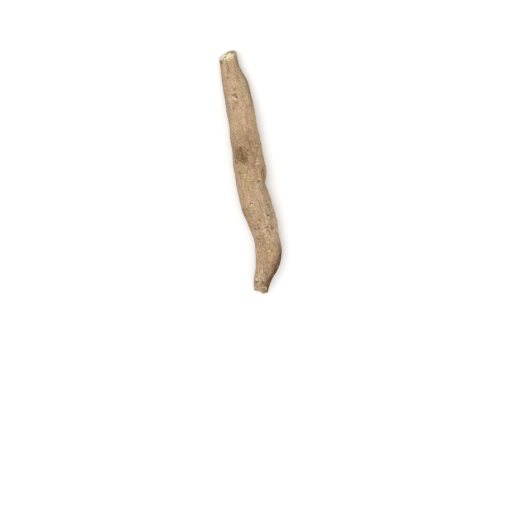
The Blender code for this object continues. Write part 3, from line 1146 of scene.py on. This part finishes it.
def bark_material(looks):
    """Matt dried bark: mottled, speckled, dark in its creases and pale on its scars."""
    material, tree, shader = shader_of("dried_bark", 0.88)
    grown = tree.attribute("grown", "Vector")
    elsewhere = tree.vectors("ADD", grown, (40.0, 0.0, 0.0))
    blotches = tree.group("soft_blotches", grown, 5.0)
    drift = tree.group("soft_blotches", elsewhere, 4.0)
    specks = tree.group("fine_specks", grown, 0.42)
    fibres = tree.group("long_fibres", grown, 0.50)
    colour = tree.tinted(
        four(looks.bark_colour),
        (blotches["Broad"], 0.75, looks.bark_blush),
        (drift["Broad"], 0.60, looks.bark_olive),
        (blotches["Small"], 0.22, looks.bark_shade),
        (tree.attribute("ochre"), 0.55, looks.bark_ochre),
        # Greyish patches, two of them painted shade.
        (tree.attribute("grey"), 0.60, looks.bark_grey),
        # Real dark patches with painted shade in some of them.
        (tree.attribute("stain_and_shade"), 0.94, looks.stain_and_shade_colour),
        # The flank: mostly painted shade, partly real brown.
        (tree.attribute("shaded_flank"), 0.97, looks.shaded_flank_colour),
        (tree.attribute("chip"), 0.85, looks.chip_colour))
    for value, darkest, lightest in (
            (tree.attribute("relief_tone"), (0.78, 0.74, 0.66), (1.16, 1.20, 1.28)),
            (fibres["Streaks"], (0.92, 0.91, 0.88), (1.05, 1.06, 1.08)),
            (specks["Grain"], (0.80, 0.76, 0.68), (1.16, 1.20, 1.28))):
        colour = tree.shaded(colour, value, darkest, lightest)
    colour = tree.tinted(
        colour,
        (specks["Specks"], 0.30, looks.crease_colour),
        (tree.attribute("dark"), 0.80, looks.crease_colour),
        (tree.attribute("pale"), 0.70, looks.scar_colour))
    tree.feed(shader, "Base Color", colour)
    tree.feed(shader, "Roughness", tree.spread(specks["Grain"], 0.0, 1.0, 0.82, 0.95))
    height = tree.reckon("ADD", specks["Height"], tree.reckon("MULTIPLY", fibres["Height"], 0.6))
    raise_by(tree, shader, height, distance=0.08 * MM, strength=0.8)
    return material


def cut_material(looks):
    """Cream wood of the knife cut, with rays, a darker ring and olive and brown marks."""
    material, tree, shader = shader_of("cut_wood", 0.82)
    place = tree.millimetres()
    blotches = tree.group("soft_blotches", place, 1.6)
    specks = tree.group("fine_specks", place, 0.30)
    colour = tree.tinted(four(looks.wood_colour), (blotches["Broad"], 0.6, looks.wood_pale))
    colour = tree.tinted(
        tree.graded(colour, specks["Grain"], 0.90, 1.08),
        (tree.spread(tree.attribute("share"), 0.80, 1.0), 0.55, looks.scar_colour),
        (tree.attribute("stain_and_shade"), 0.85, looks.wood_stain),
        (tree.attribute("grey"), 0.60, looks.wood_grey),
        (tree.attribute("dark"), 0.75, looks.crease_colour))
    tree.feed(shader, "Base Color", colour)
    tree.feed(shader, "Roughness", tree.spread(specks["Grain"], 0.0, 1.0, 0.72, 0.90))
    raise_by(tree, shader, specks["Height"], distance=0.05 * MM, strength=0.7)
    return material


def torn_material(looks):
    """Greyish torn wood, pale on its fibre ends and brown in the gaps between them."""
    material, tree, shader = shader_of("torn_wood", 0.9)
    place = tree.millimetres()
    blotches = tree.group("soft_blotches", place, 1.2)
    specks = tree.group("fine_specks", place, 0.30)
    colour = tree.tinted(
        four(looks.torn_colour),
        (blotches["Broad"], 1.0, looks.torn_pale),
        (blotches["Small"], 0.4, looks.stain_and_shade_colour))
    colour = tree.tinted(
        tree.graded(colour, specks["Grain"], 0.84, 1.12),
        (tree.attribute("dark"), 0.7, looks.crease_colour))
    tree.feed(shader, "Base Color", colour)
    raise_by(tree, shader, specks["Height"], distance=0.07 * MM, strength=0.8)
    return material


def fibre_material(looks):
    """Pale dry fibre, streaked along its length."""
    material, tree, shader = shader_of("torn_fibre", 0.85)
    fibres = tree.group("long_fibres", tree.turned(tree.millimetres()), 0.12)
    colour = tree.tinted(four(looks.torn_colour), (fibres["Streaks"], 1.0, looks.torn_pale))
    tree.feed(shader, "Base Color", colour)
    raise_by(tree, shader, fibres["Height"], distance=0.02 * MM, strength=0.6)
    return material


def floor_material(looks):
    """Plain pale table top with a faint unevenness."""
    material, tree, shader = shader_of("pale_table", 0.75)
    drift = tree.noise(tree.add("ShaderNodeTexCoord").outputs["Object"], 0.25)
    shade = tree.spread(drift, 0.2, 0.8, 0.985, 1.0)
    tree.feed(shader, "Base Color", tree.mix(1.0, four(looks.floor_colour), shade, "MULTIPLY"))
    return material


def colour_property(label, text, default):
    """A colour that the sidebar shows."""
    return bpy.props.FloatVectorProperty(
        name=label, description=text, default=default, size=3, min=0.0, max=1.0, subtype="COLOR")


class RootLooks(bpy.types.PropertyGroup):
    """Sizes and colours of the dried root and of its table and light."""

    skin_cell: bpy.props.FloatProperty(
        name="Skin cell", description="Side of one face of the root's skin",
        default=0.183 * MM, min=0.1 * MM, max=1.0 * MM, unit="LENGTH", precision=6)
    relief: bpy.props.FloatProperty(
        name="Relief", description="How strongly the bark is creased and pebbled",
        default=1.0, min=0.0, max=2.0, subtype="FACTOR")
    bark_colour: colour_property("Bark", "Usual colour of the dried bark", (0.450, 0.304, 0.185))
    bark_blush: colour_property("Blush", "Colour of the pinkish patches", (0.460, 0.287, 0.185))
    bark_olive: colour_property("Olive", "Colour of the olive patches", (0.405, 0.302, 0.175))
    bark_shade: colour_property("Shade", "Colour of the browner patches", (0.340, 0.215, 0.120))
    bark_ochre: colour_property("Ochre", "Colour of the yellowish patches", (0.470, 0.320, 0.150))
    bark_grey: colour_property("Grey", "Colour of the greyish patches", (0.370, 0.300, 0.215))
    # The flank's colour stands mostly for painted shade, partly for real brown.
    shaded_flank_colour: colour_property("Flank", "Colour of the browned side", (0.084, 0.036, 0.008))
    # Colour of real dark patches, also used for painted shade.
    stain_and_shade_colour: colour_property("Stain", "Colour of the dark patches", (0.142, 0.071, 0.021))
    crease_colour: colour_property("Crease", "Colour in creases and pits", (0.084, 0.041, 0.014))
    scar_colour: colour_property("Scar", "Colour of pale scars and folds", (0.70, 0.55, 0.37))
    wood_colour: colour_property("Cut wood", "Colour of the cut face", (0.66, 0.59, 0.36))
    wood_pale: colour_property("Cut wood, pale", "Palest colour of the cut face", (0.76, 0.69, 0.47))
    wood_grey: colour_property("Cut wood, grey", "Greyed side of the cut face", (0.54, 0.46, 0.34))
    wood_stain: colour_property("Cut wood, olive", "Olive marks of the cut face", (0.20, 0.18, 0.07))
    chip_colour: colour_property("Chip", "Colour inside the chip", (0.290, 0.207, 0.112))
    torn_colour: colour_property("Torn wood", "Colour of the snapped end", (0.47, 0.345, 0.215))
    torn_pale: colour_property("Torn wood, pale", "Colour of torn fibre ends", (0.68, 0.55, 0.37))
    fibre_count: bpy.props.IntProperty(
        name="Torn fibres", description="How many splinters stand out of the snapped end",
        default=54, min=3, max=200)
    floor_colour: colour_property("Table", "Colour of the table top", (0.90, 0.90, 0.90))
    key_power: bpy.props.FloatProperty(
        name="Key light", description="Power of the large soft light", default=5.2, min=0.0,
        unit="POWER")


class ROOT_OT_dried_root(bpy.types.Operator):
    """Build the root's bark, cut face and torn wood from its solid"""
    bl_idname = "root_part.dried_root"
    bl_label = "Dried Root"

    def execute(self, context):
        looks = context.scene.root_looks
        piece = root_mesh(looks.skin_cell)
        refine_ends(piece)
        cut, torn = carve_root(piece, looks)
        make_blotches()
        make_specks()
        make_fibres()
        materials = (bark_material(looks), cut_material(looks), torn_material(looks))
        give_materials(piece, cut, torn, materials)
        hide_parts(NODE)
        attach(piece, "root")
        return {"FINISHED"}


class ROOT_OT_torn_fibres(bpy.types.Operator):
    """Stand short splinters out of the snapped end's torn wood"""
    bl_idname = "root_part.torn_fibres"
    bl_label = "Torn Fibres"

    def execute(self, context):
        looks = context.scene.root_looks
        piece = add_torn_fibres(bpy.data.objects["dried_root"], looks)
        piece.data.materials.append(fibre_material(looks))
        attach(piece, "root")
        return {"FINISHED"}


def add_camera():
    """The camera at the picture's angle and framing."""
    forward = Vector((math.cos(CAMERA_ELEVATION), 0.0, -math.sin(CAMERA_ELEVATION)))
    right = Matrix.Rotation(PICTURE_LEAN, 3, forward) @ Vector((0.0, 1.0, 0.0))
    up = right.cross(forward)
    aside = (AIM_PIXEL[0] - PICTURE_SIZE / 2) * PIXEL
    below = (AIM_PIXEL[1] - PICTURE_SIZE / 2) * PIXEL
    target = Vector((0.0, 0.0, AIM_HEIGHT)) - right * aside + up * below
    back = PIXEL * PICTURE_SIZE / SENSOR * LENS
    bpy.ops.object.camera_add()
    camera = bpy.context.object
    camera.name = "picture_camera"
    camera.data.lens = LENS
    camera.data.sensor_width = SENSOR
    camera.data.clip_start = NEAREST_SEEN
    turn = Matrix((right, up, -forward)).transposed().to_4x4()
    camera.matrix_world = Matrix.Translation(target - forward * back) @ turn
    bpy.context.scene.camera = camera


class ROOT_OT_stage(bpy.types.Operator):
    """Set the table, the soft studio light and the camera"""
    bl_idname = "root_part.stage"
    bl_label = "Stage"

    def execute(self, context):
        looks = context.scene.root_looks
        bpy.ops.mesh.primitive_plane_add(size=TABLE_SIDE)
        floor = context.object
        floor.name = "table"
        floor.data.materials.append(floor_material(looks))
        bpy.ops.object.light_add(type="AREA", location=LIGHT_PLACE)
        key = context.object
        key.name = "key_light"
        key.data.shape = "DISK"
        key.data.size = LIGHT_SIZE
        key.data.energy = looks.key_power
        key.rotation_euler = (-key.location).to_track_quat("-Z", "Y").to_euler()
        world = bpy.data.worlds.new("studio")
        world.use_nodes = True
        sky = world.node_tree.nodes["Background"]
        sky.inputs["Color"].default_value = (1.0, 1.0, 1.0, 1.0)
        sky.inputs["Strength"].default_value = SKY_STRENGTH
        context.scene.world = world
        context.scene.view_settings.view_transform = "Standard"
        add_camera()
        return {"FINISHED"}


class ROOT_PT_sidebar(bpy.types.Panel):
    """Lists the pieces of the dried root and their sizes and colours"""
    bl_idname = "ROOT_PT_sidebar"
    bl_label = "Dried Root"
    bl_space_type = "VIEW_3D"
    bl_region_type = "UI"
    bl_category = "Root"

    def draw(self, context):
        for operator in OPERATORS:
            self.layout.operator(operator.bl_idname)
        looks = context.scene.root_looks
        for name in looks.bl_rna.properties.keys():
            if name not in ("rna_type", "name"):
                self.layout.prop(looks, name)


OPERATORS = (ROOT_OT_dried_root, ROOT_OT_torn_fibres, ROOT_OT_stage)
CLASSES = (RootLooks, *OPERATORS, ROOT_PT_sidebar)


def register():
    """Add the classes and the scene's looks."""
    for item in CLASSES:
        bpy.utils.register_class(item)
    bpy.types.Scene.root_looks = bpy.props.PointerProperty(type=RootLooks)


def unregister():
    """Take the classes and the scene's looks away."""
    del bpy.types.Scene.root_looks
    for item in reversed(CLASSES):
        bpy.utils.unregister_class(item)


def main():
    """Build every piece."""
    register()
    bpy.ops.root_part.stage()
    bpy.ops.root_part.dried_root()
    bpy.ops.root_part.torn_fibres()


if __name__ == "__main__":
    main()
